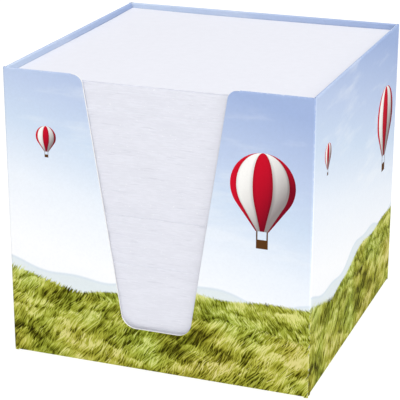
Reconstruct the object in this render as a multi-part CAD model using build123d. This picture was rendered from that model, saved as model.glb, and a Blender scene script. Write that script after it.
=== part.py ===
"""Desk memo box: a folded carton with a thumb notch, filled with loose square memo sheets.

Millimetres, +Z up, the origin at the centre of the underside, the notched front wall facing -Y.
The carton is one blank: its panels are separate solids that meet at the creases.
"""

from build123d import *
import math
import os

# Sheets: square, loose, about nine hundred of them piled on the floor of the carton.
SHEET_SIDE = 90.0
SHEET_THICKNESS = 0.094
PILE_HEIGHT = 84.6
LOOSE_SHEETS = ("third_sheet", "second_sheet", "top_sheet")
SHEET_PLAY = 0.5
RIM_ABOVE_SHEETS = 2.0

# Carton board and the dried glue between two of its layers.
BOARD = 0.5
GLUE_FILM = 0.1
BEND_INSIDE = 0.2

# Thumb notch in the front wall.
NOTCH_TOP_WIDTH = 44.0
NOTCH_FLOOR_WIDTH = 20.7
NOTCH_FLOOR_HEIGHT = 13.1
NOTCH_SHOULDER_RADIUS = 3.0
NOTCH_FLOOR_RADIUS = 4.5

# Liners: the wall panels folded over the rim and glued down inside.
LINER_END_GAP = 0.3
LINER_TAPER = 1.2
LINER_FOOT_GAP = 0.3
LINER_NOTCH_SETBACK = 0.3
LINER_SHOULDER_GAP = 0.5

# Seam: the flap that joins the two ends of the blank at the back left corner.
SEAM_FLAP_WIDTH = 14.0
SEAM_FLAP_TAPER = 3.0
SEAM_FLAP_BELOW_RIM = 20.0
SEAM_FLAP_FOOT_GAP = 2.5
SEAM_LINER_GAP = 1.0
SEAM_EDGE_SETBACK = 0.2

# Base: the front flap lies outermost, the side flaps next, the back flap innermost.
BASE_FLAP_SIDE_GAP = 1.0
BASE_FLAP_END_GAP = 0.6
SIDE_FLAP_DEPTH = 34.0
SIDE_FLAP_CHAMFER = 9.0

# Glue strips.
GLUE_STRIP_WIDTH = 7.0
GLUE_EDGE_MARGIN = 3.0

# How far a cutting tool runs past what it cuts.
OVERRUN = 1.0

LAYER = BOARD + GLUE_FILM
WALL_STACK = LAYER + BOARD
BEND_OUTSIDE = BEND_INSIDE + BOARD
FOLD_INSIDE = GLUE_FILM / 2
FOLD_OUTSIDE = FOLD_INSIDE + BOARD

BOX_SIDE = SHEET_SIDE + 2 * SHEET_PLAY + 2 * WALL_STACK
HALF = BOX_SIDE / 2
FLOOR_TOP = 2 * LAYER + BOARD
BOX_HEIGHT = FLOOR_TOP + PILE_HEIGHT + RIM_ABOVE_SHEETS

# Heights of the creases under each wall: each is one layer above the one folded after it.
FRONT_CREASE = 0
SIDE_CREASE = LAYER
BACK_CREASE = 2 * LAYER

# Places across a wall, in the frame of a wall that faces -Y.
OUTER_FACE = -HALF
GLUE_FACE = OUTER_FACE + BOARD
LINER_FACE = OUTER_FACE + LAYER
FLAP_HALF_WIDTH = HALF - BOARD - BASE_FLAP_SIDE_GAP
SIDE_LINER_END = HALF - WALL_STACK - LINER_END_GAP
CROSS_LINER_END = HALF - BEND_OUTSIDE - LINER_END_GAP
LINER_FOOT = FLOOR_TOP + LINER_FOOT_GAP
FOLD_LINE = BOX_HEIGHT - FOLD_OUTSIDE
SEAM_EDGE = -HALF + LAYER
SEAM_FLAP_TOP = BOX_HEIGHT - SEAM_FLAP_BELOW_RIM
SEAM_FLAP_FOOT = FLOOR_TOP + SEAM_FLAP_FOOT_GAP

# The notch's slanting sides.
NOTCH_DEPTH = BOX_HEIGHT - NOTCH_FLOOR_HEIGHT
NOTCH_SPREAD = (NOTCH_TOP_WIDTH - NOTCH_FLOOR_WIDTH) / 2
NOTCH_LEAN = math.atan2(NOTCH_SPREAD, NOTCH_DEPTH)
SHOULDER_TANGENT = NOTCH_SHOULDER_RADIUS / math.tan((math.pi / 2 + NOTCH_LEAN) / 2)
SHOULDER_START = NOTCH_TOP_WIDTH / 2 + SHOULDER_TANGENT + LINER_SHOULDER_GAP

# Each wall is drawn facing -Y and turned about Z to its place in this row, by equal turns.
WALLS = ("front", "right", "back", "left")

# The stretches of rim that have a liner: the front and back ones run on past the ends of the side ones.
SIDE_SPAN = (-SIDE_LINER_END, SIDE_LINER_END)
BACK_SPAN = (-CROSS_LINER_END, CROSS_LINER_END)
FRONT_SPANS = [(-CROSS_LINER_END, -SHOULDER_START), (SHOULDER_START, CROSS_LINER_END)]


def turned(side, shape):
    """A shape drawn in the frame of a wall that faces -Y, turned to the given side of the box."""
    return Rot(0, 0, WALLS.index(side) * 360 / len(WALLS)) * shape


def block(x, y, z):
    """A box between two places along each axis."""
    size = [high - low for low, high in (x, y, z)]
    centre = [(high + low) / 2 for low, high in (x, y, z)]
    return Pos(*centre) * Box(*size)


def along(span, profile):
    """A profile drawn across the wall, in Y and Z, run along the wall over a span of X."""
    start, end = span
    return extrude(Plane.YZ.offset(start) * profile, amount=end - start)


def panel(sheet, face):
    """A board of the wall's thickness from a flat shape in X and Z, its outer side at the given Y."""
    board = extrude(Plane.XZ * sheet, amount=-BOARD)
    return Pos(0, face, 0) * board


def bend(centre, inside, outside, quarter):
    """A quarter of a bent board seen end on: quarter gives the signs of the two axes it lies between."""
    ring = Circle(outside) - Circle(inside)
    corner = Pos(quarter[0] * outside / 2, quarter[1] * outside / 2) * Rectangle(outside, outside)
    return Pos(*centre) * (ring & corner)


def rim_fold(inner):
    """Half of the hairpin fold over the rim: the wall holds the outer half and the liner the inner."""
    centre = (OUTER_FACE + FOLD_OUTSIDE, FOLD_LINE)
    return bend(centre, FOLD_INSIDE, FOLD_OUTSIDE, (1 if inner else -1, 1))


def mitred_plan():
    """One wall seen from above, with half of the rounded crease at each end."""
    outside = RectangleRounded(BOX_SIDE, BOX_SIDE, BEND_OUTSIDE)
    inside = RectangleRounded(BOX_SIDE - 2 * BOARD, BOX_SIDE - 2 * BOARD, BEND_INSIDE)
    quadrant = make_face(Polyline((0, 0), (-BOX_SIDE, -BOX_SIDE), (BOX_SIDE, -BOX_SIDE), close=True))
    return (outside - inside) & quadrant


def clipped(plan, start, end):
    """The stretch of a wall's plan between two places along it."""
    return plan & (Pos((start + end) / 2, 0) * Rectangle(end - start, 2 * BOX_SIDE))


def seam_bend_plan():
    """The left wall's back end, bent to lie inside the back wall."""
    centre = (SEAM_EDGE + BEND_OUTSIDE, OUTER_FACE + BEND_OUTSIDE)
    return bend(centre, BEND_INSIDE, BEND_OUTSIDE, (-1, -1))


def wall(plan, crease, spans):
    """A wall panel with the bend of its base flap below and its half of each rim fold above."""
    body = Pos(0, 0, crease) * extrude(plan, amount=BOX_HEIGHT - crease)
    across = (OUTER_FACE - OVERRUN, OUTER_FACE + BOARD + OVERRUN)
    flap_span = (-FLAP_HALF_WIDTH, FLAP_HALF_WIDTH)
    bend_centre = (OUTER_FACE + BEND_OUTSIDE, crease + BEND_OUTSIDE)
    body -= block(flap_span, across, (crease - OVERRUN, crease + BEND_OUTSIDE))
    body += along(flap_span, bend(bend_centre, BEND_INSIDE, BEND_OUTSIDE, (-1, -1)))
    for span in spans:
        body -= block(span, across, (FOLD_LINE, BOX_HEIGHT + OVERRUN))
        body += along(span, rim_fold(inner=False))
    return body


def notched_outline():
    """The front wall's outline with the thumb notch, its corners rounded."""
    edge = HALF + OVERRUN
    floor = NOTCH_FLOOR_WIDTH / 2
    mouth = NOTCH_TOP_WIDTH / 2
    sheet = make_face(
        Polyline(
            (-edge, -OVERRUN),
            (edge, -OVERRUN),
            (edge, BOX_HEIGHT),
            (mouth, BOX_HEIGHT),
            (floor, NOTCH_FLOOR_HEIGHT),
            (-floor, NOTCH_FLOOR_HEIGHT),
            (-mouth, BOX_HEIGHT),
            (-edge, BOX_HEIGHT),
            close=True,
        )
    )
    middle = sheet.vertices().filter_by(lambda v: abs(v.X) <= mouth + OVERRUN)
    shoulders = middle.filter_by(lambda v: v.Y > BOX_HEIGHT - OVERRUN)
    sheet = fillet(shoulders, NOTCH_SHOULDER_RADIUS)
    floor_corners = sheet.vertices().filter_by(
        lambda v: abs(v.X) <= floor + OVERRUN and abs(v.Y - NOTCH_FLOOR_HEIGHT) < OVERRUN
    )
    return fillet(floor_corners, NOTCH_FLOOR_RADIUS)


def front_wall():
    kept = extrude(Plane.XZ * notched_outline(), amount=BOX_SIDE, both=True)
    return wall(mitred_plan(), FRONT_CREASE, FRONT_SPANS) & kept


def right_wall():
    return wall(mitred_plan(), SIDE_CREASE, [SIDE_SPAN])


def back_wall():
    plan = clipped(mitred_plan(), -HALF, 0)
    raw_end = HALF - SEAM_EDGE_SETBACK
    plan += Pos(raw_end / 2, OUTER_FACE + BOARD / 2) * Rectangle(raw_end, BOARD)
    return wall(plan, BACK_CREASE, [BACK_SPAN])


def left_wall():
    plan = clipped(mitred_plan(), SEAM_EDGE + BEND_OUTSIDE, HALF) + seam_bend_plan()
    return wall(plan, SIDE_CREASE, [SIDE_SPAN])


def seam_flap():
    """The glue flap on the left wall, drawn in that wall's frame: it lies along Y."""
    root = OUTER_FACE + BEND_OUTSIDE
    tip = OUTER_FACE + SEAM_FLAP_WIDTH
    outline = Polyline(
        (root, SEAM_FLAP_FOOT),
        (tip, SEAM_FLAP_FOOT + SEAM_FLAP_TAPER),
        (tip, SEAM_FLAP_TOP - SEAM_FLAP_TAPER),
        (root, SEAM_FLAP_TOP),
        close=True,
    )
    return extrude(Plane.YZ.offset(SEAM_EDGE) * make_face(outline), amount=BOARD)


def liner(span, sheet):
    """A liner: its half of the rim fold and the panel that hangs from it inside the wall."""
    return panel(sheet, LINER_FACE) + along(span, rim_fold(inner=True))


def liner_notch_edge(height):
    """How far from the middle a front liner's edge is at a height: just behind the notch's slanting side."""
    slant = NOTCH_TOP_WIDTH / 2 - (BOX_HEIGHT - height) * math.tan(NOTCH_LEAN)
    return slant + LINER_NOTCH_SETBACK


def front_liner(side):
    """A front liner beside the notch, its shoulder rounded like the wall's; side is -1 for left, 1 for right."""
    shoulder = (side * liner_notch_edge(FOLD_LINE), FOLD_LINE)
    sheet = make_face(
        Polyline(
            (side * CROSS_LINER_END, FOLD_LINE),
            shoulder,
            (side * liner_notch_edge(LINER_FOOT), LINER_FOOT),
            (side * (CROSS_LINER_END - LINER_TAPER), LINER_FOOT),
            close=True,
        )
    )
    sheet = fillet(sheet.vertices().sort_by_distance(shoulder)[0], NOTCH_SHOULDER_RADIUS)
    span = FRONT_SPANS[0] if side < 0 else FRONT_SPANS[1]
    return liner(span, sheet)


def side_liner():
    outline = Polyline(
        (-SIDE_LINER_END, FOLD_LINE),
        (SIDE_LINER_END, FOLD_LINE),
        (SIDE_LINER_END - LINER_TAPER, LINER_FOOT),
        (-SIDE_LINER_END + LINER_TAPER, LINER_FOOT),
        close=True,
    )
    return liner(SIDE_SPAN, make_face(outline))


def back_liner():
    """The back liner, stepped in on one side to lie beside the seam flap."""
    step = HALF - SEAM_FLAP_WIDTH - SEAM_LINER_GAP
    step_height = SEAM_FLAP_TOP + SEAM_LINER_GAP
    outline = Polyline(
        (-CROSS_LINER_END, FOLD_LINE),
        (CROSS_LINER_END, FOLD_LINE),
        (CROSS_LINER_END, step_height),
        (step, step_height),
        (step, LINER_FOOT),
        (-CROSS_LINER_END + LINER_TAPER, LINER_FOOT),
        close=True,
    )
    return liner(BACK_SPAN, make_face(outline))


def base_flap(crease, end):
    """A full base flap that runs from its wall's crease to an end place across the box."""
    return block(
        (-FLAP_HALF_WIDTH, FLAP_HALF_WIDTH),
        (OUTER_FACE + BEND_OUTSIDE, end),
        (crease, crease + BOARD),
    )


def base_front_flap():
    return base_flap(FRONT_CREASE, HALF - BASE_FLAP_END_GAP)


def base_back_flap():
    return base_flap(BACK_CREASE, HALF - BOARD - BASE_FLAP_END_GAP)


def base_side_flap():
    """A short side flap with chamfered corners, between the two full flaps."""
    root = OUTER_FACE + BEND_OUTSIDE
    tip = OUTER_FACE + SIDE_FLAP_DEPTH
    outline = Polyline(
        (-FLAP_HALF_WIDTH, root),
        (FLAP_HALF_WIDTH, root),
        (FLAP_HALF_WIDTH, tip - SIDE_FLAP_CHAMFER),
        (FLAP_HALF_WIDTH - SIDE_FLAP_CHAMFER, tip),
        (-FLAP_HALF_WIDTH + SIDE_FLAP_CHAMFER, tip),
        (-FLAP_HALF_WIDTH, tip - SIDE_FLAP_CHAMFER),
        close=True,
    )
    return Pos(0, 0, SIDE_CREASE) * extrude(make_face(outline), amount=BOARD)


def glue_strip(start):
    """An upright strip of glue between a wall and its liner, from one place along the wall."""
    foot = LINER_FOOT + GLUE_EDGE_MARGIN
    head = FOLD_LINE - GLUE_EDGE_MARGIN
    return block((start, start + GLUE_STRIP_WIDTH), (GLUE_FACE, LINER_FACE), (foot, head))


def liner_glue():
    """A strip near each upright edge of the side and back liners, and one on each front liner."""
    strips = []
    left_start = -SIDE_LINER_END + LINER_TAPER + GLUE_EDGE_MARGIN
    right_start = SIDE_LINER_END - LINER_TAPER - GLUE_EDGE_MARGIN - GLUE_STRIP_WIDTH
    seam_start = HALF - SEAM_FLAP_WIDTH - SEAM_LINER_GAP - GLUE_EDGE_MARGIN - GLUE_STRIP_WIDTH
    starts = {
        "front": (left_start, right_start),
        "right": (left_start, right_start),
        "back": (left_start, seam_start),
        "left": (left_start, right_start),
    }
    for side, places in starts.items():
        for place in places:
            strips.append(turned(side, glue_strip(place)))
    return strips


def seam_glue():
    """The strip of glue between the seam flap and the back wall, in the left wall's frame."""
    tip = OUTER_FACE + SEAM_FLAP_WIDTH - GLUE_EDGE_MARGIN
    return block(
        (SEAM_EDGE - GLUE_FILM, SEAM_EDGE),
        (tip - GLUE_STRIP_WIDTH, tip),
        (SEAM_FLAP_FOOT + SEAM_FLAP_TAPER, SEAM_FLAP_TOP - SEAM_FLAP_TAPER),
    )


def base_glue():
    """Strips below and above each side flap, in the frame of a wall that faces -Y."""
    strips = []
    tip = OUTER_FACE + SIDE_FLAP_DEPTH - GLUE_EDGE_MARGIN
    reach = FLAP_HALF_WIDTH - SIDE_FLAP_CHAMFER - GLUE_EDGE_MARGIN
    for side in ("right", "left"):
        for film in (SIDE_CREASE - GLUE_FILM, SIDE_CREASE + BOARD):
            strip = block((-reach, reach), (tip - GLUE_STRIP_WIDTH, tip), (film, film + GLUE_FILM))
            strips.append(turned(side, strip))
    return strips


def sheets(foot, height):
    """Sheets piled to the given height, from a place above the floor of the carton."""
    reach = (-SHEET_SIDE / 2, SHEET_SIDE / 2)
    return block(reach, reach, (FLOOR_TOP + foot, FLOOR_TOP + foot + height))


def build():
    """Every piece by the name of its node, in place."""
    stack_height = PILE_HEIGHT - len(LOOSE_SHEETS) * SHEET_THICKNESS
    pieces = {
        "front_wall": front_wall(),
        "right_wall": turned("right", right_wall()),
        "back_wall": turned("back", back_wall()),
        "left_wall": turned("left", left_wall()),
        "seam_flap": turned("left", seam_flap()),
        "front_left_liner": front_liner(-1),
        "front_right_liner": front_liner(1),
        "right_liner": turned("right", side_liner()),
        "back_liner": turned("back", back_liner()),
        "left_liner": turned("left", side_liner()),
        "base_front_flap": base_front_flap(),
        "base_back_flap": turned("back", base_back_flap()),
        "base_right_flap": turned("right", base_side_flap()),
        "base_left_flap": turned("left", base_side_flap()),
        "liner_glue": Compound(liner_glue()),
        "seam_glue": turned("left", seam_glue()),
        "base_glue": Compound(base_glue()),
        "sheet_stack": sheets(0, stack_height),
    }
    for place, name in enumerate(LOOSE_SHEETS):
        pieces[name] = sheets(stack_height + place * SHEET_THICKNESS, SHEET_THICKNESS)
    return pieces


def main():
    os.makedirs("parts", exist_ok=True)
    for name, shape in build().items():
        export_step(shape, os.path.join("parts", name + ".step"))


main()
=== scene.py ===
"""Looks of the desk memo box: a printed, folded carton and the loose memo sheets that fill it.

The carton's panels are the CAD nodes, with board, print and varnish in their materials.
The sheets are made here, in place of their CAD solids. Lengths are millimetres until a mesh is made.
"""

import math
import random

import bpy
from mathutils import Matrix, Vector


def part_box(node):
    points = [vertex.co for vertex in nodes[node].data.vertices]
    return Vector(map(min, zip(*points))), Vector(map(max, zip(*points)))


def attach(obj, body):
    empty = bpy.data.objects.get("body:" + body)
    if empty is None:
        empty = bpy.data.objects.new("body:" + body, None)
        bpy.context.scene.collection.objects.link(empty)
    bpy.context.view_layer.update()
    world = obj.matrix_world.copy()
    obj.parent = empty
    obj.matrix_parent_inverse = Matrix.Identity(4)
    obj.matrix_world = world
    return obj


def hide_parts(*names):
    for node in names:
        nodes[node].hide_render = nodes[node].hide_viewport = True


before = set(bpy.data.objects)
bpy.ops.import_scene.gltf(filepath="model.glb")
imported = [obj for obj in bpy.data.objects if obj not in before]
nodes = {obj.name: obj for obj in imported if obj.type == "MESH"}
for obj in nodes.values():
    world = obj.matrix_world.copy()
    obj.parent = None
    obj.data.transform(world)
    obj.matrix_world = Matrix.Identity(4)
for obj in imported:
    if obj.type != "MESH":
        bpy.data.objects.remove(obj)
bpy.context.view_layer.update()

MM = 0.001
QUARTER_TURN = math.pi / 2

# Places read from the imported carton, in the frame of a wall that faces -Y.
HALF_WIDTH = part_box("front_wall")[1].x / MM
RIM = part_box("front_wall")[1].z / MM
# The front wall's fold starts beside the notch, where the topmost points of its liner start.
FOLD_TOP = 0.3
LINER_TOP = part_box("front_right_liner")[1].z
LINER_POINTS = [vertex.co for vertex in nodes["front_right_liner"].data.vertices]
FOLD_POINTS = [point for point in LINER_POINTS if point.z > LINER_TOP - FOLD_TOP * MM]
SHOULDER_START = min(point.x for point in FOLD_POINTS) / MM

# Most of a noise lies between these two values.
NOISE_LOW, NOISE_HIGH = 0.3, 0.7


def linear(hex_colour):
    """An sRGB hex colour as linear RGBA."""
    channels = [int(hex_colour[place:place + 2], 16) / 255 for place in (1, 3, 5)]
    return [c / 12.92 if c <= 0.04045 else ((c + 0.055) / 1.055) ** 2.4 for c in channels] + [1.0]


def add(tree, kind, *values, out=0, stops=(), **settings):
    """Adds a node and gives one of its outputs: settings by name, a ramp's stops as places and colours,
    and inputs in order or by name in one dict, as values or links."""
    made = tree.nodes.new(kind if kind.startswith("NodeGroup") else "ShaderNode" + kind)
    for name, value in settings.items():
        setattr(made, name, value)
    while stops and len(made.color_ramp.elements) < len(stops):
        made.color_ramp.elements.new(1.0)
    for place, (position, colour) in enumerate(stops):
        made.color_ramp.elements[place].position = position
        made.color_ramp.elements[place].color = linear(colour)
    if values and isinstance(values[0], dict):
        pairs = [(made.inputs[name], value) for name, value in values[0].items()]
    else:
        pairs = zip([socket for socket in made.inputs if socket.enabled], values)
    for socket, value in pairs:
        if isinstance(value, bpy.types.NodeSocket):
            tree.links.new(value, socket)
        elif value is not None:
            socket.default_value = value
    return [socket for socket in made.outputs if socket.enabled][out] if made.outputs else made


def print_group(name, inputs, outputs):
    """An empty group of nodes: its tree and its input sockets in order."""
    tree = bpy.data.node_groups.new(name, "ShaderNodeTree")
    for label in inputs:
        tree.interface.new_socket(label, in_out="INPUT", socket_type="NodeSocketFloat")
    for label, kind in outputs:
        tree.interface.new_socket(label, in_out="OUTPUT", socket_type="NodeSocket" + kind)
    return tree, [add(tree, "NodeGroupInput", out=place) for place in range(len(inputs))]


def new_material(name):
    """An empty material and its tree."""
    material = bpy.data.materials.new(name)
    material.use_nodes = True
    material.node_tree.nodes.clear()
    return material, material.node_tree


# Printed grass: how far its blades lean, their width and their length, in three layers.
BLADE_LAYERS = ((0.7, 0.26, 6.5), (1.05, 0.3, 7.5), (0.35, 0.24, 5.0))
TIP_LEAN, TIPS_PER_MM = 0.62, 1.9
TUFT_LEAN, TUFT_SOFTNESS = 0.8, 0.5
# Noise between which one layer gives way to another, tones between which blades of the third cross the
# others, and how far they cover them.
LAYER_CHANGE = (0.46, 0.54)
CROSSING_TONES, CROSSING_COVER = (0.7, 0.8), 0.8
# Sizes across and up: gusts, patches where two layers take turns, tufts, clumps, and light and shade.
GUST = (26, 16, 1)
LAYER_PATCH = (4, 5, 1)
TUFT = (9, 4.5, 1)
CLUMP = (2.4, 6, 1)
LIGHT_AND_SHADE = (18, 8, 1)
HEAVE = 7
# How far gusts push blades aside, and how far tips and heaves move the tufts up and down.
GUST_PUSH, TIP_PULL, HEAVE_PUSH = 4.0, -5.0, 9.0
# How fast a blade and a tuft turn lighter from root to tip.
BLADE_RISE, TUFT_RISE = 0.5, 2.2
# Each part's share in the tone of the grass, and the tone that the shares are added to.
STRAND_SHARE, TUFT_SHARE, CLUMP_SHARE, SHADE_SHARE = 0.7, 0.24, 0.5, 1.35
GROUND_TONE = -0.935


def rooted_cells(tree, across, up, size, rise, softness=None):
    """Cells of one real size, sharp or softly joined, each with a tone of its own, darker at its root."""
    place = add(tree, "CombineXYZ", across, up, 0.0)
    place = add(tree, "VectorMath", place, size, operation="DIVIDE")
    cells = {"Vector": place, "Scale": 1.0}
    feature = "F1"
    if softness:
        cells["Smoothness"] = softness
        feature = "SMOOTH_F1"
    cell = add(tree, "TexVoronoi", cells, voronoi_dimensions="2D", feature=feature)
    tone = add(tree, "SeparateColor", cell.node.outputs["Color"])
    height = add(tree, "VectorMath", place, cell.node.outputs["Position"], operation="SUBTRACT")
    height = add(tree, "SeparateXYZ", height, out=1)
    return add(tree, "Math", height, rise, tone, operation="MULTIPLY_ADD")


def blade_strands(tree, place, tall, leant, bent):
    """Blades in three layers: two take turns in patches, and the lightest of the third cross both."""
    layers = []
    for lean, width, length in BLADE_LAYERS:
        across = add(tree, "Math", leant, -lean, bent, operation="MULTIPLY_ADD")
        layers.append(rooted_cells(tree, across, tall, (width, length, 1), BLADE_RISE))
    first, second, crossing = layers
    turn_place = add(tree, "VectorMath", place, LAYER_PATCH, operation="DIVIDE")
    turns = add(tree, "TexNoise", turn_place, 1.0, 2.0, 0.6, noise_dimensions="2D")
    turns = add(tree, "MapRange", turns, *LAYER_CHANGE, 0.0, 1.0)
    strand = add(tree, "Mix", turns, first, second)
    lightest = add(tree, "MapRange", crossing, *CROSSING_TONES, 0.0, CROSSING_COVER)
    return add(tree, "Mix", lightest, strand, crossing)


def grass_blades():
    """Printed grass: leaning blades in ragged tufts. Gives a tone from root dark to straw light, and how
    far the tips stand up."""
    tree, (u, v, size, lean) = print_group(
        "printed grass blades",
        ("U", "V", "Size", "Lean"),
        (("Tone", "Float"), ("Tips", "Float")),
    )
    place = add(tree, "CombineXYZ", u, v, 0.0)
    place = add(tree, "VectorMath", place, size, operation="DIVIDE")
    across = add(tree, "SeparateXYZ", place)
    tall = across.node.outputs[1]
    leant = add(tree, "Math", lean, tall, operation="MULTIPLY")
    gust_place = add(tree, "VectorMath", place, GUST, operation="DIVIDE")
    gust = add(tree, "TexNoise", gust_place, 1.0, 3.0, 0.5, noise_dimensions="2D")
    bent = add(tree, "Math", gust, GUST_PUSH, across, operation="MULTIPLY_ADD")
    strand = blade_strands(tree, place, tall, leant, bent)
    tip_place = add(tree, "Math", leant, -TIP_LEAN, bent, operation="MULTIPLY_ADD")
    tips = add(tree, "TexNoise", tip_place, TIPS_PER_MM, 2.0, 0.75, noise_dimensions="1D")
    # Tufts are ragged at the top and rise and fall with the ground.
    shear = add(tree, "Math", leant, -TUFT_LEAN, bent, operation="MULTIPLY_ADD")
    ragged = add(tree, "Math", tips, TIP_PULL, tall, operation="MULTIPLY_ADD")
    heave = add(tree, "TexNoise", place, 1 / HEAVE, 2.0, 0.6, noise_dimensions="2D")
    ragged = add(tree, "Math", heave, HEAVE_PUSH, ragged, operation="MULTIPLY_ADD")
    tuft = rooted_cells(tree, shear, ragged, TUFT, TUFT_RISE, TUFT_SOFTNESS)
    clump_place = add(tree, "CombineXYZ", shear, tall, 0.0)
    clump_place = add(tree, "VectorMath", clump_place, CLUMP, operation="DIVIDE")
    clump = add(tree, "TexNoise", clump_place, 1.0, 2.0, 0.6, noise_dimensions="2D")
    shade_place = add(tree, "VectorMath", place, LIGHT_AND_SHADE, operation="DIVIDE")
    shade = add(tree, "TexNoise", shade_place, 1.0, 2.0, 0.6, noise_dimensions="2D")
    tone = add(tree, "Math", strand, STRAND_SHARE, GROUND_TONE, operation="MULTIPLY_ADD")
    for part, share in ((tuft, TUFT_SHARE), (clump, CLUMP_SHARE), (shade, SHADE_SHARE)):
        tone = add(tree, "Math", part, share, tone, operation="MULTIPLY_ADD")
    add(tree, "NodeGroupOutput", tone, tips)
    return tree


# The printed balloon in units of its radius: heights from its middle, and widths from its axis.
BALLOON_SHOULDER, BALLOON_MOUTH = -0.6, -1.4
TAPER_SLOPE, TAPER_WIDTH = 0.75, 1.25
BASKET_TOP, BASKET_FOOT, BASKET_WIDTH = -1.66, -1.94, 0.17
LINE_PLACE, LINE_WIDTH = 0.16, 0.022
# Its gores, and the shade on them: in the middle, to the right, upwards, how it deepens, and at the seams.
GORE_PACE = 5.0
MIDDLE_SHADE, RIGHT_SHADE, UPPER_SHADE, SHADE_POWER = 0.44, 0.42, -0.3, 1.7
SEAM_REACH, SEAM_SHADE, DEEPEST_SHADE = 0.6, 0.22, 0.75
WHITE_CLOTH, RED_CLOTH, CLOTH_SHADE, WICKER = "#fbfaf6", "#d0142c", "#3d0a1c", "#5b3a1e"


def balloon_envelope(tree, side, y):
    """A ball that runs straight from its shoulder down to its mouth: its half width, and where it is."""
    square = add(tree, "Math", y, y, operation="MULTIPLY")
    left = add(tree, "Math", 1.0, square, operation="SUBTRACT")
    left = add(tree, "Math", left, 0.0, operation="MAXIMUM")
    round_width = add(tree, "Math", left, operation="SQRT")
    taper_width = add(tree, "Math", y, TAPER_SLOPE, TAPER_WIDTH, operation="MULTIPLY_ADD")
    low = add(tree, "Math", y, BALLOON_SHOULDER, operation="LESS_THAN")
    half_width = add(tree, "Mix", low, round_width, taper_width)
    inside = add(tree, "Math", side, half_width, operation="LESS_THAN")
    above_mouth = add(tree, "Math", y, BALLOON_MOUTH, operation="GREATER_THAN")
    return half_width, add(tree, "Math", inside, above_mouth, operation="MULTIPLY")


def balloon_cloth(tree, x, y, half_width):
    """Red and white gores that narrow towards the sides, as they do round a ball."""
    turn = add(tree, "Math", x, half_width, operation="DIVIDE")
    turn = add(tree, "Math", turn, operation="ARCSINE")
    gore = add(tree, "Math", turn, GORE_PACE, operation="MULTIPLY")
    gore = add(tree, "Math", gore, operation="COSINE")
    red = add(tree, "Math", gore, 0.0, operation="GREATER_THAN")
    cloth = add(tree, "Mix", red, linear(WHITE_CLOTH), linear(RED_CLOTH), data_type="RGBA")
    # Light falls from the upper left, so the lower right side is in shade.
    shade = add(tree, "Math", x, RIGHT_SHADE, MIDDLE_SHADE, operation="MULTIPLY_ADD")
    shade = add(tree, "Math", y, UPPER_SHADE, shade, operation="MULTIPLY_ADD")
    shade = add(tree, "Math", shade, 0.0, operation="MAXIMUM")
    shade = add(tree, "Math", shade, SHADE_POWER, operation="POWER")
    # Each gore bulges, so it darkens towards its seams.
    seam = add(tree, "Math", gore, operation="ABSOLUTE")
    seam = add(tree, "MapRange", seam, 0.0, SEAM_REACH, SEAM_SHADE, 0.0)
    shade = add(tree, "Math", shade, seam, operation="ADD")
    shade = add(tree, "Math", shade, DEEPEST_SHADE, operation="MINIMUM")
    return add(tree, "Mix", shade, cloth, linear(CLOTH_SHADE), data_type="RGBA")


def balloon_basket(tree, side, y, below):
    """Where the basket is, which hangs below the mouth on two lines."""
    basket = add(tree, "Math", side, BASKET_WIDTH, operation="LESS_THAN")
    under_lines = add(tree, "Math", y, BASKET_TOP, operation="LESS_THAN")
    basket = add(tree, "Math", basket, under_lines, operation="MULTIPLY")
    line = add(tree, "Math", side, LINE_PLACE, operation="SUBTRACT")
    line = add(tree, "Math", line, operation="ABSOLUTE")
    line = add(tree, "Math", line, LINE_WIDTH, operation="LESS_THAN")
    hung = add(tree, "Math", basket, line, operation="MAXIMUM")
    above_foot = add(tree, "Math", y, BASKET_FOOT, operation="GREATER_THAN")
    hung = add(tree, "Math", hung, above_foot, operation="MULTIPLY")
    return add(tree, "Math", hung, below, operation="MULTIPLY")


def striped_balloon():
    """A printed hot-air balloon, in units of its radius from its middle: its colours and where it is."""
    tree, (x, y) = print_group("printed balloon", ("X", "Y"), (("Color", "Color"), ("Mask", "Float")))
    side = add(tree, "Math", x, operation="ABSOLUTE")
    half_width, envelope = balloon_envelope(tree, side, y)
    cloth = balloon_cloth(tree, x, y, half_width)
    below = add(tree, "Math", y, BALLOON_MOUTH, operation="LESS_THAN")
    basket = balloon_basket(tree, side, y, below)
    colour = add(tree, "Mix", below, cloth, linear(WICKER), data_type="RGBA")
    mask = add(tree, "Math", envelope, basket, operation="MAXIMUM")
    add(tree, "NodeGroupOutput", colour, mask)
    return tree


# The sky's colours from the horizon up, the heights that they run between, and how far they slant.
SKY_STOPS = (
    (0.0, "#fcfdff"),
    (0.29, "#edf3fb"),
    (0.53, "#cfdef1"),
    (0.71, "#c0cfea"),
    (1.0, "#a2b5dc"),
)
SKY_FOOT, SKY_HEIGHT, SKY_SLANT = 26.0, 68.0, 0.18
# Wisps of cloud: their size, the noise that they start and end at, and how far they cover the sky.
WISP = (34, 8, 1)
WISP_NOISE, WISP_COVER = (0.5, 0.75), 0.28
CLOUD_WHITE = "#f7fafd"


def sky(tree, u, v):
    """A printed sky that deepens upwards and to the right, with faint wisps of cloud."""
    place = add(tree, "CombineXYZ", u, v, 0.0)
    wisp_place = add(tree, "VectorMath", place, WISP, operation="DIVIDE")
    wisp = add(tree, "TexNoise", wisp_place, 1.0, 4.0, 0.55, noise_dimensions="2D")
    thin = (*WISP_NOISE, 0.0, WISP_COVER)
    cloud = add(tree, "MapRange", wisp, *thin, interpolation_type="SMOOTHSTEP")
    rise = add(tree, "Math", v, 1 / SKY_HEIGHT, -SKY_FOOT / SKY_HEIGHT, operation="MULTIPLY_ADD")
    rise = add(tree, "Math", u, SKY_SLANT / HALF_WIDTH, rise, operation="MULTIPLY_ADD")
    clear = add(tree, "ValToRGB", rise, stops=SKY_STOPS)
    return add(tree, "Mix", cloud, clear, linear(CLOUD_WHITE), data_type="RGBA")


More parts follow.
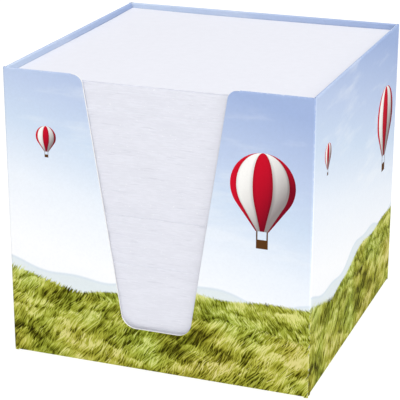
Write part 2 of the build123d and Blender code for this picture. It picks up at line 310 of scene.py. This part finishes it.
# Balloons on each wall: along it, up it, and the radius.
BALLOONS = ((32.0, 62.0, 9.5), (-33.5, 69.0, 3.2))
# Crests of hills: the height at the wall's middle, the slope, and waves, each with its swing, its turn in
# radians per millimetre and its start.
FAR_CREST = (28.5, 0.0, ((2.0, 0.11, 0.8), (0.8, 0.27, 2.0)))
FAR_STOPS = ((0.0, "#d9e4ee"), (1.0, "#e3ebee"))
FAR_SOFTNESS = 0.3
# Meadows, the farther one first. Their hues run from straw to green.
MEADOWS = (
    {
        "crest": (24.5, 0.09, ((1.5, 0.085, 1.2), (0.6, 0.23, 0.0))),
        "blade_size": 0.65,
        "lean": -0.9,
        "tip_height": 2.6,
        "hues": (0.5, 0.53),
    },
    {
        "crest": (20.0, -0.13, ((2.0, 0.07, -0.6),)),
        "blade_size": 1.0,
        "lean": 1.0,
        "tip_height": 5.0,
        "hues": (0.475, 0.525),
    },
)
GRASS_STOPS = (
    (0.0, "#2c2705"),
    (0.2, "#595711"),
    (0.42, "#888926"),
    (0.62, "#a8aa3c"),
    (0.82, "#c0c153"),
    (1.0, "#dcd888"),
)
STRAW_PATCH = 25
TIP_SINK, TIP_SOFTNESS = 0.4, 0.1
SUNLIT_DEPTH, SUNLIT = 5.0, 0.16


def crest(tree, u, height, slope, waves):
    """The line of a hill's top along the wall."""
    line = add(tree, "Math", u, slope, height, operation="MULTIPLY_ADD")
    for swing, per_mm, start in waves:
        wave = add(tree, "Math", u, per_mm, start, operation="MULTIPLY_ADD")
        wave = add(tree, "Math", wave, operation="SINE")
        line = add(tree, "Math", wave, swing, line, operation="MULTIPLY_ADD")
    return line


def with_meadow(tree, u, v, picture, blades, meadow):
    """The picture with one hill of grass in front of it, ragged and sunlit along its crest."""
    tone = add(tree, "Group", u, v, meadow["blade_size"], meadow["lean"], node_tree=blades)
    tips = tone.node.outputs["Tips"]
    tip_height = meadow["tip_height"]
    ragged = add(tree, "Math", tips, tip_height, -TIP_SINK * tip_height, operation="MULTIPLY_ADD")
    top = crest(tree, u, *meadow["crest"])
    ragged = add(tree, "Math", ragged, top, operation="ADD")
    depth = add(tree, "Math", ragged, v, operation="SUBTRACT")
    inside = add(tree, "MapRange", depth, -TIP_SOFTNESS, TIP_SOFTNESS, 0.0, 1.0)
    lit = add(tree, "MapRange", depth, 0.0, SUNLIT_DEPTH, SUNLIT, 0.0)
    tone = add(tree, "Math", tone, lit, operation="ADD")
    grass = add(tree, "ValToRGB", tone, stops=GRASS_STOPS)
    # Patches turn greener or more straw-like.
    patch_place = add(tree, "CombineXYZ", u, v, 0.0)
    patch = add(tree, "TexNoise", patch_place, 1 / STRAW_PATCH, 2.0, 0.5, noise_dimensions="2D")
    hue = add(tree, "MapRange", patch, NOISE_LOW, NOISE_HIGH, *meadow["hues"])
    grass = add(tree, "HueSaturation", {"Hue": hue, "Color": grass})
    return add(tree, "Mix", inside, picture, grass, data_type="RGBA")


def meadow_print():
    """The picture on each wall: meadow hills under a pale sky, with two balloons. U and V in millimetres."""
    tree, (u, v) = print_group("meadow print", ("U", "V"), (("Color", "Color"),))
    picture = sky(tree, u, v)
    balloon = striped_balloon()
    for middle_u, middle_v, radius in BALLOONS:
        x = add(tree, "Math", u, 1 / radius, -middle_u / radius, operation="MULTIPLY_ADD")
        y = add(tree, "Math", v, 1 / radius, -middle_v / radius, operation="MULTIPLY_ADD")
        colour = add(tree, "Group", x, y, node_tree=balloon)
        mask = colour.node.outputs["Mask"]
        picture = add(tree, "Mix", mask, picture, colour, data_type="RGBA")
    # Far hills, pale with haze.
    far = crest(tree, u, *FAR_CREST)
    depth = add(tree, "Math", far, v, operation="SUBTRACT")
    in_far = add(tree, "MapRange", depth, -FAR_SOFTNESS, FAR_SOFTNESS, 0.0, 1.0)
    hills = add(tree, "ValToRGB", depth, stops=FAR_STOPS)
    picture = add(tree, "Mix", in_far, picture, hills, data_type="RGBA")
    blades = grass_blades()
    for meadow in MEADOWS:
        picture = with_meadow(tree, u, v, picture, blades, meadow)
    add(tree, "NodeGroupOutput", picture)
    return tree


def box_place(tree):
    """Where a point is on the box, in millimetres."""
    place = add(tree, "TexCoord").node.outputs["Object"]
    return add(tree, "VectorMath", place, 1 / MM, operation="SCALE")


def wall_place(tree, turn):
    """Where a point is on a wall turned about Z, and which way it faces: along the wall and up it in
    millimetres, how far it faces inwards and up, and its place on the turned box."""
    placed = add(tree, "VectorRotate", box_place(tree), (0, 0, 0), -turn, rotation_type="Z_AXIS")
    u = add(tree, "SeparateXYZ", placed)
    normal = add(tree, "TexCoord").node.outputs["Normal"]
    facing = add(tree, "VectorRotate", normal, (0, 0, 0), -turn, rotation_type="Z_AXIS")
    inward = add(tree, "SeparateXYZ", facing, out=1)
    return u, u.node.outputs[2], inward, inward.node.outputs[2], placed


# Carton board. Its fibre felt is drawn three times as coarse as real fibres so that it shows.
BOARD_WHITE = "#f3f2f0"
FELT = 0.7
FELT_RELIEF = 0.02
VARNISH_PATCH = 9
BARE_ROUGHNESS = (0.88, 0.76)
VARNISH_ROUGHNESS = (0.62, 0.72)
FELT_SHADE = (0.965, 1.0)


def board_surface(tree, placed, colour, printed=None):
    """Carton board: one felted surface, bare fibre or, where it is printed, under uneven varnish."""
    felt = add(tree, "TexNoise", placed, 1 / FELT, 3.0, 0.6)
    rough = add(tree, "MapRange", felt, NOISE_LOW, NOISE_HIGH, *BARE_ROUGHNESS)
    if printed is not None:
        flow = add(tree, "TexNoise", placed, 1 / VARNISH_PATCH, 2.0, 0.5)
        varnish = add(tree, "MapRange", flow, NOISE_LOW, NOISE_HIGH, *VARNISH_ROUGHNESS)
        rough = add(tree, "Mix", printed, rough, varnish)
    fibre = add(tree, "MapRange", felt, NOISE_LOW, NOISE_HIGH, *FELT_SHADE)
    colour = add(tree, "Mix", 1.0, colour, fibre, data_type="RGBA", blend_type="MULTIPLY")
    bump = add(tree, "Bump", {"Strength": 0.25, "Distance": FELT_RELIEF * MM, "Height": felt})
    surface = {"Base Color": colour, "Roughness": rough, "IOR": 1.48, "Normal": bump}
    shader = add(tree, "BsdfPrincipled", {**surface, "Specular IOR Level": 0.01})
    add(tree, "OutputMaterial", shader)


# Ink cracks in breaks 1.4 mm long, from so far inside the box's corners and below its rim, and the white
# that shows there covers at most 0.45 of it.
CRACK_BREAK = 1.4
CRACK_NOISE, CRACK_COVER = (0.5, 0.7), 0.45
CORNER_CRACK = (0.35, 0.1)
RIM_CRACK = 0.3
# A face counts as turned one way from this share of facing straight that way.
TURNED = 0.3
# Printed bands along the rim's fold, round the foot crease, at the folds' cut ends and down inside.
RIM_BAND, FOOT_BAND, CORNER_BAND, INSIDE_BAND = 3.0, 3.0, 2.0, 16.0
# How far the sky that is printed inside is lowered, which makes it paler: painted light that makes up for the
# shade inside the rim.
INSIDE_PAINTED_LIGHT = 9.0


def cracked_edges(tree, u, v, placed):
    """Where ink has cracked along a crease and white board shows: broken lines at the corners and the rim."""
    reach = add(tree, "Math", u, operation="ABSOLUTE")
    crack_start, crack_full = [HALF_WIDTH - inside for inside in CORNER_CRACK]
    corner = add(tree, "MapRange", reach, crack_start, crack_full, 0.0, 1.0)
    rim = add(tree, "MapRange", v, RIM - RIM_CRACK, RIM, 0.0, 1.0)
    edge = add(tree, "Math", corner, rim, operation="MAXIMUM")
    broken = add(tree, "TexNoise", placed, 1 / CRACK_BREAK, 3.0, 0.7)
    broken = add(tree, "MapRange", broken, *CRACK_NOISE, 0.0, CRACK_COVER)
    return add(tree, "Math", edge, broken, operation="MULTIPLY")


def at_fold_end(tree, reach, inward, side):
    """The cut ends of the folds at the corners of the box, where the press has rolled the ink over them."""
    near = add(tree, "Math", reach, HALF_WIDTH - CORNER_BAND, operation="GREATER_THAN")
    facing = add(tree, "Math", inward, side, operation="MULTIPLY")
    end = add(tree, "Math", facing, TURNED, operation="LESS_THAN")
    return add(tree, "Math", near, end, operation="MULTIPLY")


def printed_outside(tree, u, v, inward, up, shoulder):
    """Where a wall is printed: outside, over its fold at the rim, and on round the crease at its foot."""
    outside = add(tree, "Math", inward, -TURNED, operation="LESS_THAN")
    reach = add(tree, "Math", u, operation="ABSOLUTE")
    on_fold = add(tree, "Math", up, TURNED, operation="GREATER_THAN")
    fold_end = at_fold_end(tree, reach, inward, 1.0)
    on_fold = add(tree, "Math", on_fold, fold_end, operation="MAXIMUM")
    at_rim = add(tree, "Math", v, RIM - RIM_BAND, operation="GREATER_THAN")
    on_fold = add(tree, "Math", on_fold, at_rim, operation="MULTIPLY")
    past_shoulder = add(tree, "Math", reach, shoulder, operation="GREATER_THAN")
    on_fold = add(tree, "Math", on_fold, past_shoulder, operation="MULTIPLY")
    under = add(tree, "Math", up, -TURNED, operation="LESS_THAN")
    at_foot = add(tree, "Math", v, FOOT_BAND, operation="LESS_THAN")
    under = add(tree, "Math", under, at_foot, operation="MULTIPLY")
    printed = add(tree, "Math", outside, on_fold, operation="MAXIMUM")
    return add(tree, "Math", printed, under, operation="MAXIMUM")


def printed_wall(name, turn, shoulder, picture):
    """Solid bleached board, offset printed and thinly varnished outside: clear colour with hardly any sheen,
    white at the cut edges and bare on the back."""
    material, tree = new_material(name)
    u, v, inward, up, placed = wall_place(tree, turn)
    printed = printed_outside(tree, u, v, inward, up, shoulder)
    inked = add(tree, "Group", u, v, node_tree=picture)
    cracked = cracked_edges(tree, u, v, placed)
    inked = add(tree, "Mix", cracked, inked, linear(BOARD_WHITE), data_type="RGBA")
    colour = add(tree, "Mix", printed, linear(BOARD_WHITE), inked, data_type="RGBA")
    board_surface(tree, placed, colour, printed)
    return material


def printed_liner(name, turn):
    """The same board folded inside: its sky runs a little way down from the rim, and the rest is bare."""
    material, tree = new_material(name)
    u, v, inward, up, placed = wall_place(tree, turn)
    inside = add(tree, "Math", inward, TURNED, operation="GREATER_THAN")
    on_fold = add(tree, "Math", up, TURNED, operation="GREATER_THAN")
    inside = add(tree, "Math", inside, on_fold, operation="MAXIMUM")
    reach = add(tree, "Math", u, operation="ABSOLUTE")
    fold_end = at_fold_end(tree, reach, inward, -1.0)
    inside = add(tree, "Math", inside, fold_end, operation="MAXIMUM")
    in_band = add(tree, "Math", v, RIM - INSIDE_BAND, operation="GREATER_THAN")
    printed = add(tree, "Math", inside, in_band, operation="MULTIPLY")
    # Seen from inside, the sky is lighter on the left, so it runs the other way round from outside.
    # It is painted as pale as the outside is some way down: painted light against the shade inside the rim.
    turned_over = add(tree, "Math", u, -1.0, operation="MULTIPLY")
    painted_lighter_v = add(tree, "Math", v, INSIDE_PAINTED_LIGHT, operation="SUBTRACT")
    inked = sky(tree, turned_over, painted_lighter_v)
    colour = add(tree, "Mix", printed, linear(BOARD_WHITE), inked, data_type="RGBA")
    board_surface(tree, placed, colour, printed)
    return material


BARE_CLOUD = 2.5
BARE_STOPS = ((NOISE_LOW, "#efeeec"), (NOISE_HIGH, "#f4f3f1"))


def bare_board():
    """Solid bleached board, unprinted: a matt, faintly mottled white."""
    material, tree = new_material("bleached_board_bare")
    placed = box_place(tree)
    cloud = add(tree, "TexNoise", placed, 1 / BARE_CLOUD, 3.0, 0.6)
    colour = add(tree, "ValToRGB", cloud, stops=BARE_STOPS)
    board_surface(tree, placed, colour)
    return material


# The roller's streaks in the glue, across and up, and how far they stand out.
GLUE_STREAK = (1.5, 1.5, 8)
GLUE_RELIEF = 0.03
GLUE_STOPS = ((NOISE_LOW, "#e6e0cd"), (NOISE_HIGH, "#f2efe2"))
GLUE_ROUGHNESS = (0.25, 0.5)


def dried_glue():
    """White glue dried to a film: a cream tint, half glossy, uneven where the roller left it."""
    material, tree = new_material("dried_white_glue")
    streak_place = add(tree, "VectorMath", box_place(tree), GLUE_STREAK, operation="DIVIDE")
    streak = add(tree, "TexNoise", streak_place, 1.0, 3.0, 0.6)
    colour = add(tree, "ValToRGB", streak, stops=GLUE_STOPS)
    rough = add(tree, "MapRange", streak, NOISE_LOW, NOISE_HIGH, *GLUE_ROUGHNESS)
    bump = add(tree, "Bump", {"Strength": 0.4, "Distance": GLUE_RELIEF * MM, "Height": streak})
    surface = {"Base Color": colour, "Roughness": rough, "IOR": 1.47, "Normal": bump}
    shader = add(tree, "BsdfPrincipled", surface)
    add(tree, "OutputMaterial", shader)
    return material


# Memo paper: the clouds that show in a sheet, and the tooth of its surface.
FORMATION = 2.2
TOOTH = 0.45
PAPER_RELIEF = 0.03
PAPER_ROUGHNESS = (0.93, 0.83)
FACE_STOPS = ((0.25, "#e5e6ee"), (0.75, "#e8e9f1"))
# The pile's cut edges, sizes along them and up. Single sheets are 0.094 mm thick, too fine to show,
# so the lines are drawn about four times as coarse.
CUT_LINE = (3, 3, 0.4)
CUT_CLOUD = (9, 9, 3)
CLOUD_SHARE = 0.8
# The cut edges are painted a little darker than the faces: painted shade on the pile's sides.
SHADED_CUT_STOPS = ((0.6, "#dfe0e9"), (0.9, "#e2e3ec"), (1.0, "#e5e6ef"))
# Painted shade in the gaps between sheets: its size, noise, cover and grey.
GAP_SHADE_SIZE = (6, 6, 0.5)
GAP_SHADE_NOISE, GAP_SHADE_COVER = (0.64, 0.74), 0.3
GAP_SHADE_GREY = "#bfc0cc"
# Painted highlights where burrs that the knife left catch the light: their size, noise, cover and white.
BURR_HIGHLIGHT_SIZE = (0.8, 0.8, 0.35)
BURR_HIGHLIGHT_NOISE, BURR_HIGHLIGHT_COVER = (0.72, 0.8), 0.8
BURR_HIGHLIGHT_WHITE = "#f6f7fb"
# A face that turns at least this far up or down is a sheet's face, not its cut edge.
LEVEL = 0.6


def cut_edges(tree, placed):
    """Cut edges of many sheets: fine uneven lines, here and there painted shade in a gap between sheets, and
    painted highlights on burrs that the knife left.
    Gives their colour and the lines."""
    line_place = add(tree, "VectorMath", placed, CUT_LINE, operation="DIVIDE")
    line = add(tree, "TexNoise", line_place, 1.0, 3.0, 0.6)
    cloud_place = add(tree, "VectorMath", placed, CUT_CLOUD, operation="DIVIDE")
    cloud = add(tree, "TexNoise", cloud_place, 1.0, 3.0, 0.6)
    lines = add(tree, "Math", cloud, CLOUD_SHARE, line, operation="MULTIPLY_ADD")
    cut = add(tree, "ValToRGB", lines, stops=SHADED_CUT_STOPS)
    # Painted shade here and there in a gap between sheets.
    gap_shade_place = add(tree, "VectorMath", placed, GAP_SHADE_SIZE, operation="DIVIDE")
    gap_shade = add(tree, "TexNoise", gap_shade_place, 1.0, 2.0, 0.5)
    gap_shade = add(tree, "MapRange", gap_shade, *GAP_SHADE_NOISE, 0.0, GAP_SHADE_COVER)
    cut = add(tree, "Mix", gap_shade, cut, linear(GAP_SHADE_GREY), data_type="RGBA")
    # Painted highlights here and there on a burr.
    burr_highlight_place = add(tree, "VectorMath", placed, BURR_HIGHLIGHT_SIZE, operation="DIVIDE")
    burr_highlight = add(tree, "TexNoise", burr_highlight_place, 1.0, 1.0, 0.5)
    burr_highlight = add(tree, "MapRange", burr_highlight, *BURR_HIGHLIGHT_NOISE, 0.0, BURR_HIGHLIGHT_COVER)
    return add(tree, "Mix", burr_highlight, cut, linear(BURR_HIGHLIGHT_WHITE), data_type="RGBA"), line


def memo_paper():
    """Uncoated wood-free paper, guillotined: matt, faintly blue white, cloudy against the light on its
    faces, with fine uneven lines where the cut edges of many sheets lie together."""
    material, tree = new_material("uncoated_memo_paper")
    placed = box_place(tree)
    formation = add(tree, "TexNoise", placed, 1 / FORMATION, 3.0, 0.6)
    face = add(tree, "ValToRGB", formation, stops=FACE_STOPS)
    cut, line = cut_edges(tree, placed)
    normal = add(tree, "TexCoord").node.outputs["Normal"]
    up = add(tree, "SeparateXYZ", normal, out=2)
    level = add(tree, "Math", up, operation="ABSOLUTE")
    level = add(tree, "Math", level, LEVEL, operation="GREATER_THAN")
    # Cut edges take the darker colour: painted shade on the pile's sides.
    colour = add(tree, "Mix", level, cut, face, data_type="RGBA")
    tooth = add(tree, "TexNoise", placed, 1 / TOOTH, 2.0, 0.6)
    relief = add(tree, "Mix", level, line, tooth)
    rough = add(tree, "MapRange", tooth, NOISE_LOW, NOISE_HIGH, *PAPER_ROUGHNESS)
    bump = add(tree, "Bump", {"Strength": 0.12, "Distance": PAPER_RELIEF * MM, "Height": relief})
    surface = {"Base Color": colour, "Roughness": rough, "IOR": 1.5, "Normal": bump}
    shader = add(tree, "BsdfPrincipled", {**surface, "Specular IOR Level": 0.2})
    add(tree, "OutputMaterial", shader)
    return material


def new_piece(name, points, faces, material, body, node):
    """A mesh piece from points in millimetres, riding on a body in place of a CAD node."""
    mesh = bpy.data.meshes.new(name)
    mesh.from_pydata([Vector(point) * MM for point in points], [], faces)
    mesh.validate()
    mesh.materials.append(material)
    piece = bpy.data.objects.new(name, mesh)
    bpy.context.scene.collection.objects.link(piece)
    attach(piece, body)
    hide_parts(node)
    return piece


# The pile's bunches: how thick they are, how far a bunch lies off its place, and the step between two.
BUNCH_THINNEST, BUNCH_THICKEST = 0.3, 2.4
BUNCH_OFFSET, KNOCKED_OFFSET, KNOCKED_SHARE = 0.05, 0.2, 0.12
BUNCH_STEP = 0.04
# The pile has slid towards the notch, within its play.
PILE_FORWARD = -0.24
# Cells along each side of a bunch, how far its edge wanders in and out, and in how many radians of a wave.
EDGE_CELLS = 16
EDGE_WANDER = 0.035
WANDER_PACE = (3.0, 9.0)
# How far bunches rise or sag between their corners, and how fast that changes up the pile, in radians.
PILE_SAG, SAG_PACE = 0.3, 5
# How far a bunch or a loose sheet may be turned, in radians.
SHEET_TURN = 0.0012


def bunch_edge(half, height, draw):
    """A bunch's outline from above, a square a little off its place with edges that wander, and its sag."""
    knocked = KNOCKED_OFFSET if draw.random() < KNOCKED_SHARE else BUNCH_OFFSET
    offset = (draw.uniform(-knocked, knocked), PILE_FORWARD + draw.uniform(-knocked, knocked))
    turn = draw.uniform(-SHEET_TURN, SHEET_TURN)
    waves = [(draw.uniform(*WANDER_PACE), draw.uniform(0.0, math.tau)) for side in range(4)]
    outline = []
    for side, (pace, start) in enumerate(waves):
        side_sag = PILE_SAG * math.sin(math.pi * height) * math.sin(SAG_PACE * height + side)
        for cell in range(EDGE_CELLS):
            share = cell / EDGE_CELLS
            from_corners = math.sin(math.pi * share)
            along = (2 * share - 1) * half
            out = half + EDGE_WANDER * math.sin(pace * share + start) * from_corners
            x, y = ((along, -out), (out, along), (-along, out), (-out, -along))[side]
            outline.append((x - y * turn + offset[0], y + x * turn + offset[1], side_sag * from_corners))
    return outline


def sheet_pile(material, draw):
    """The pile below the loose sheets, in bunches that were knocked square but not quite flush."""
    low, high = [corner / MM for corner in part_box("sheet_stack")]
    half = high.x - EDGE_WANDER
    points = []
    foot = low.z
    while foot < high.z:
        head = foot + draw.uniform(BUNCH_THINNEST, BUNCH_THICKEST)
        if head > high.z - BUNCH_THINNEST:
            head = high.z
        height = ((foot + head) / 2 - low.z) / (high.z - low.z)
        outline = bunch_edge(half, height, draw)
        first, last = foot == low.z, head == high.z
        points += [(x, y, foot if first else foot + BUNCH_STEP + sag) for x, y, sag in outline]
        points += [(x, y, head if last else head - BUNCH_STEP + sag) for x, y, sag in outline]
        foot = head
    count = 4 * EDGE_CELLS
    top = len(points) - count
    faces = [tuple(range(count - 1, -1, -1)), tuple(range(top, top + count))]
    for ring in range(0, top, count):
        for place in range(count):
            here, there = ring + place, ring + (place + 1) % count
            faces.append((here, there, there + count, here + count))
    new_piece("memo_sheet_pile", points, faces, material, "sheet_stack", "sheet_stack")


# Loose sheets from below: how far each lies off its place, and the corner that curls up and by how much.
LOOSE_SHEETS = {
    "third_sheet": ((-0.22, 0.2), ((1, 1), 0.12)),
    "second_sheet": ((-0.3, 0.34), ((1, -1), 0.2)),
    "top_sheet": ((-0.38, 0.38), ((-1, 1), 0.4)),
}
# How far from the middle a corner starts to curl, cells along a sheet, the share of its thickness by which
# a sheet clears the one below, and the angle from which its edges stay sharp.
CURL_START = 34.0
SHEET_CELLS = 24
UNDERSIDE_GAP = 0.06
SHARP_ANGLE = math.radians(40)


def curl_lift(x, y, half, curls):
    """How far a sheet is lifted at a point by the corners that curl up, its own and those below it."""
    lift = 0.0
    for (side_x, side_y), rise in curls:
        run = (x * side_x + y * side_y) / math.sqrt(2) - CURL_START
        reach = math.sqrt(2) * half - CURL_START
        lift += rise * max(0.0, run / reach) ** 2
    return lift


def sheet_faces():
    """Faces of a thin sheet: a grid of cells below, the same above, and the edge round them."""
    count = SHEET_CELLS + 1
    upper = count * count
    faces = []
    for row in range(SHEET_CELLS):
        for column in range(SHEET_CELLS):
            here = row * count + column
            ring = (here, here + 1, here + 1 + count, here + count)
            faces.append(tuple(reversed(ring)))
            faces.append(tuple(upper + place for place in ring))
    edge = list(range(SHEET_CELLS))
    edge += [row * count + SHEET_CELLS for row in range(SHEET_CELLS)]
    edge += [SHEET_CELLS * count + column for column in range(SHEET_CELLS, 0, -1)]
    edge += [row * count for row in range(SHEET_CELLS, 0, -1)]
    for here, there in zip(edge, edge[1:] + edge[:1]):
        faces.append((here, there, upper + there, upper + here))
    return faces


def loose_sheet(name, offset, curls, material, draw):
    """One thin loose sheet, a hair off square, its corners curling with those of the sheets below it."""
    low, high = [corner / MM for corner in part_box(name)]
    half = high.x
    underside = low.z + UNDERSIDE_GAP * (high.z - low.z)
    turn = draw.uniform(-SHEET_TURN, SHEET_TURN)
    steps = [(2 * cell / SHEET_CELLS - 1) * half for cell in range(SHEET_CELLS + 1)]
    points = []
    for layer in (underside, high.z):
        for y in steps:
            for x in steps:
                lift = curl_lift(x, y, half, curls)
                points.append((x - y * turn + offset[0], y + x * turn + offset[1], layer + lift))
    piece = new_piece("loose_memo_" + name, points, sheet_faces(), material, name, name)
    piece.data.shade_smooth()
    piece.data.set_sharp_from_angle(angle=SHARP_ANGLE)


def dress_carton():
    """Gives each panel of the carton its board, print and varnish."""
    picture = meadow_print()
    for place, side in enumerate(("front", "right", "back", "left")):
        turn = place * QUARTER_TURN
        shoulder = SHOULDER_START if side == "front" else 0.0
        wall = printed_wall("printed_board_" + side, turn, shoulder, picture)
        nodes[side + "_wall"].material_slots[0].material = wall
        liner = printed_liner("printed_liner_" + side, turn)
        for name in nodes:
            if name.startswith(side) and name.endswith("_liner"):
                nodes[name].material_slots[0].material = liner
    bare = bare_board()
    glue = dried_glue()
    for name in nodes:
        if name.endswith("_flap"):
            nodes[name].material_slots[0].material = bare
        if name.endswith("_glue"):
            nodes[name].material_slots[0].material = glue


DRAW_SEED = 17


def fill_with_sheets():
    """The pile and the three loose sheets on it."""
    paper = memo_paper()
    draw = random.Random(DRAW_SEED)
    sheet_pile(paper, draw)
    curls = []
    for name, (offset, curl) in LOOSE_SHEETS.items():
        curls.append(curl)
        loose_sheet(name, offset, curls, paper, draw)


# Photograph's viewpoint: degrees round and above the box, millimetres away, and the point it looks at.
VIEW_ROUND = 20.646
VIEW_ABOVE = 19.691
VIEW_DISTANCE = 472.97
VIEW_AIM = (-3.879, 0.0, 37.903)
VIEW_LENS = 135.583
VIEW_SENSOR = 36.0


def place_camera():
    """The camera where the photograph was taken from."""
    round_box, above = math.radians(VIEW_ROUND), math.radians(VIEW_ABOVE)
    flat = math.cos(above)
    away = Vector((math.sin(round_box) * flat, -math.cos(round_box) * flat, math.sin(above)))
    lens = bpy.data.cameras.new("camera")
    lens.sensor_width = VIEW_SENSOR
    lens.lens = VIEW_LENS
    camera = bpy.data.objects.new("camera", lens)
    camera.location = (Vector(VIEW_AIM) + away * VIEW_DISTANCE) * MM
    camera.rotation_euler = (-away).to_track_quat("-Z", "Y").to_euler()
    bpy.context.scene.collection.objects.link(camera)
    bpy.context.scene.camera = camera


# Soft boxes: place and width in metres, and watts. They face a point in the middle of the box.
SOFT_BOXES = {
    "front_soft_box": ((0.48, -1.15, 0.85), 0.8, 8.4),
    "side_soft_box": ((1.3, -0.35, 0.75), 0.8, 4.8),
    "top_soft_box": ((0.0, 0.1, 1.4), 1.0, 9.1),
    "back_soft_box": ((-0.9, 1.1, 0.9), 0.8, 4.0),
}
LIGHT_AIM = Vector((0, 0, 0.04))
FILL_STRENGTH = 0.3
# The floor reaches out to the horizon, a hair below the box, and glows so that it stays white all the way.
FLOOR_REACH, FLOOR_HEIGHT = 40.0, -0.0002
FLOOR_GREY, FLOOR_GLOW = "#858585", 0.85
WHITE = "#ffffff"


def soft_box(name, place, width, watts):
    """A square studio light that faces the box."""
    lamp = bpy.data.lights.new(name, "AREA")
    lamp.size = width
    lamp.energy = watts
    light = bpy.data.objects.new(name, lamp)
    light.location = place
    light.rotation_euler = (LIGHT_AIM - Vector(place)).to_track_quat("-Z", "Y").to_euler()
    bpy.context.scene.collection.objects.link(light)


def lay_floor():
    """A white table top that stays white away from the box, as the photograph's ground does."""
    material, tree = new_material("white_table_top")
    surface = {"Base Color": linear(FLOOR_GREY), "Roughness": 0.9}
    glow = {"Emission Color": linear(WHITE), "Emission Strength": FLOOR_GLOW}
    shader = add(tree, "BsdfPrincipled", {**surface, **glow})
    add(tree, "OutputMaterial", shader)
    mesh = bpy.data.meshes.new("floor")
    signs = ((-1, -1), (1, -1), (1, 1), (-1, 1))
    corners = [(x * FLOOR_REACH, y * FLOOR_REACH, FLOOR_HEIGHT) for x, y in signs]
    mesh.from_pydata(corners, [], [(0, 1, 2, 3)])
    mesh.materials.append(material)
    floor = bpy.data.objects.new("floor", mesh)
    bpy.context.scene.collection.objects.link(floor)


def set_studio():
    """A white floor, an even fill and four soft boxes."""
    scene = bpy.context.scene
    scene.view_settings.view_transform = "Standard"
    world = bpy.data.worlds.new("even studio light")
    world.use_nodes = True
    backdrop = world.node_tree.nodes["Background"]
    backdrop.inputs["Color"].default_value = linear(WHITE)
    backdrop.inputs["Strength"].default_value = FILL_STRENGTH
    scene.world = world
    for name, (place, width, watts) in SOFT_BOXES.items():
        soft_box(name, place, width, watts)
    lay_floor()


dress_carton()
fill_with_sheets()
place_camera()
set_studio()
